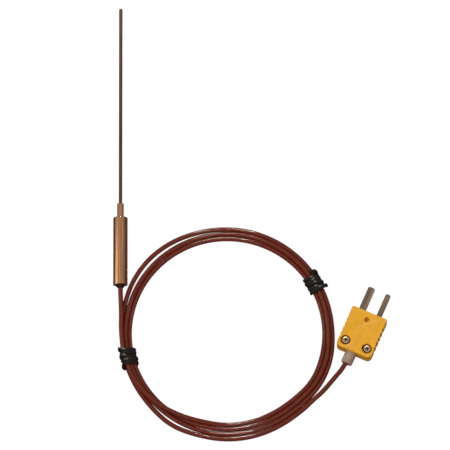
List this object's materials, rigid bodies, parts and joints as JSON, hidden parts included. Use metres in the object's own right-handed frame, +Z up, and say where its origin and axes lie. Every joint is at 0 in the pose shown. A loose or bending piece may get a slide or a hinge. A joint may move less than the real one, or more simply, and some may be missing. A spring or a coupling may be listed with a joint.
{
  "type": "thermocouple",
  "caption": "Mineral-insulated thermocouple: slim closed-tip probe, cylindrical transition pot, coiled lead held by ties and a flat two-blade miniature plug.",
  "frame": {"origin": "centre of the transition pot's front face, on the probe's axis", "axes": "+Y along the probe towards its tip, +Z up from the surface the part lies on, +X towards the coil"},
  "size_m": [0.1219, 0.1963, 0.008],
  "materials": {
    "sheath_metal": "oxidised nickel alloy, satin",
    "pot_metal": "bronze-toned metal, drawn finish",
    "insulation_powder": "packed mineral powder",
    "thermo_alloy": "bare thermocouple alloy",
    "potting": "cast epoxy",
    "black_seal": "black sealing compound",
    "lead_jacket": "glossy translucent red-brown polymer",
    "core_yellow": "yellow core insulation",
    "core_red": "red core insulation",
    "tie_coating": "plastic-coated twist tie",
    "plug_plastic": "moulded glass-filled thermoplastic",
    "blade_alloy": "thermocouple alloy blade",
    "screw_steel": "nickel-plated steel",
    "insert_brass": "knurled brass",
    "grommet_rubber": "warm grey rubber"
  },
  "bodies": {
    "root": {"probe_sheath": "sheath_metal", "sheath_collar": "pot_metal", "pot_shell": "pot_metal", "mineral_insulation": "insulation_powder", "probe_conductor_positive": "thermo_alloy", "probe_conductor_negative": "thermo_alloy", "hot_junction": "thermo_alloy", "potting_compound": "potting", "end_seal": "black_seal", "splice_crimp_positive": "screw_steel", "splice_crimp_negative": "screw_steel", "pot_core_positive": "core_yellow", "pot_core_negative": "core_red", "lead_tail_probe": "lead_jacket", "lead_coil": "lead_jacket", "lead_tail_plug": "lead_jacket", "twist_tie_left": "tie_coating", "twist_tie_right": "tie_coating", "plug_base": "plug_plastic", "plug_cover": "plug_plastic", "blade_positive": "blade_alloy", "blade_negative": "blade_alloy", "terminal_screws": "screw_steel", "clamp_washers": "screw_steel", "cover_screws": "screw_steel", "threaded_inserts": "insert_brass", "cable_grommet": "grommet_rubber", "plug_core_positive": "core_yellow", "plug_core_negative": "core_red"}
  },
  "joints": []
}
